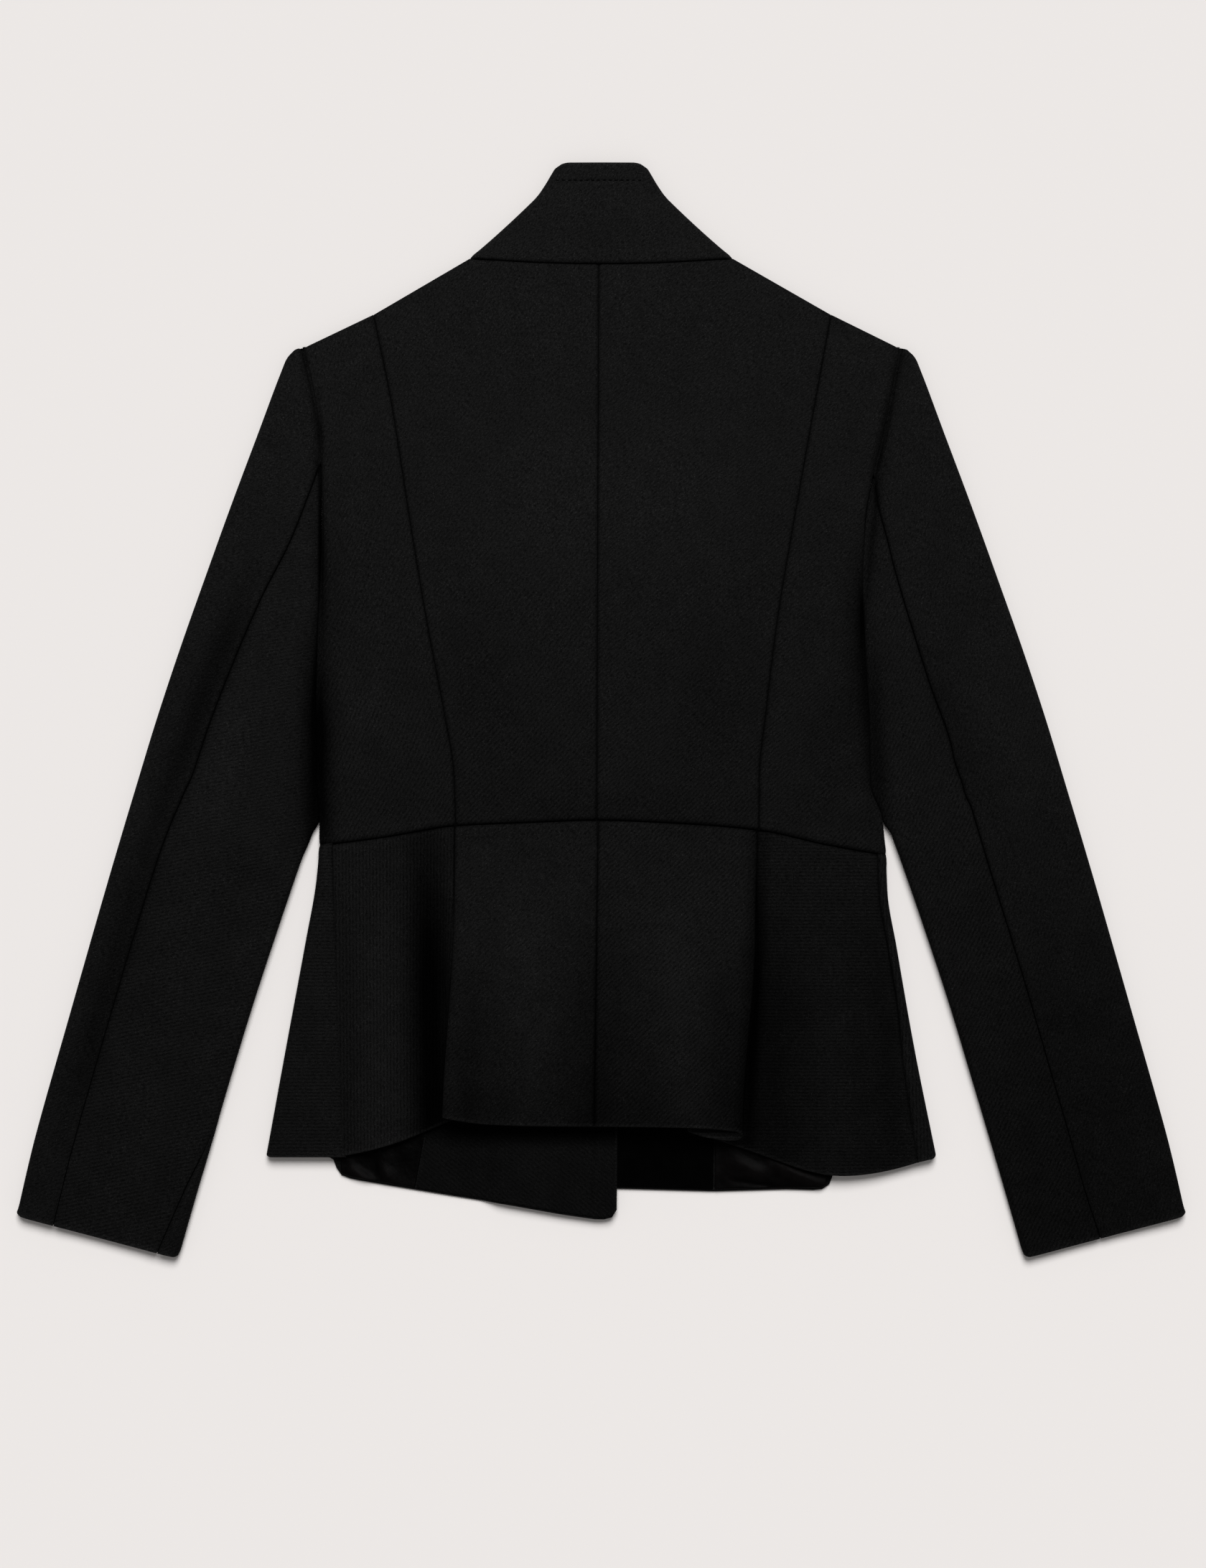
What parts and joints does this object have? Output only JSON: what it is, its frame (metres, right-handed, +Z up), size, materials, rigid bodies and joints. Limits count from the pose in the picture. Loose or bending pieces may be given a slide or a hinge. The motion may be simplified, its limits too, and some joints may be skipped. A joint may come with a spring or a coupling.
{
  "type": "short wrap coat",
  "caption": "Short tailored wool wrap coat with stand collar, two-piece sleeves and fluted peplum, laid flat with its back up.",
  "frame": {"origin": "centre of the coat's outline on the floor it lies on", "axes": "+X across the shoulders to the right as the back is seen, +Y from hem to collar, +Z up from the floor"},
  "size_m": [0.7828, 0.7332, 0.0253],
  "materials": {
    "wool_twill": "matte, napped twill",
    "facing_wool": "matte twill",
    "satin": "soft satin"
  },
  "bodies": {
    "root": {"collar": "wool_twill", "back_left": "wool_twill", "back_right": "wool_twill", "side_back_left": "wool_twill", "side_back_right": "wool_twill", "front_left": "wool_twill", "front_right": "wool_twill", "sleeve_upper_left": "wool_twill", "sleeve_upper_right": "wool_twill", "sleeve_under_left": "wool_twill", "sleeve_under_right": "wool_twill", "peplum_back_left": "wool_twill", "peplum_back_right": "wool_twill", "peplum_side_left": "wool_twill", "peplum_side_right": "wool_twill", "peplum_front_left": "wool_twill", "peplum_front_right": "wool_twill", "facing_left": "facing_wool", "facing_right": "satin", "lining_left": "satin", "lining_right": "satin"}
  },
  "joints": []
}
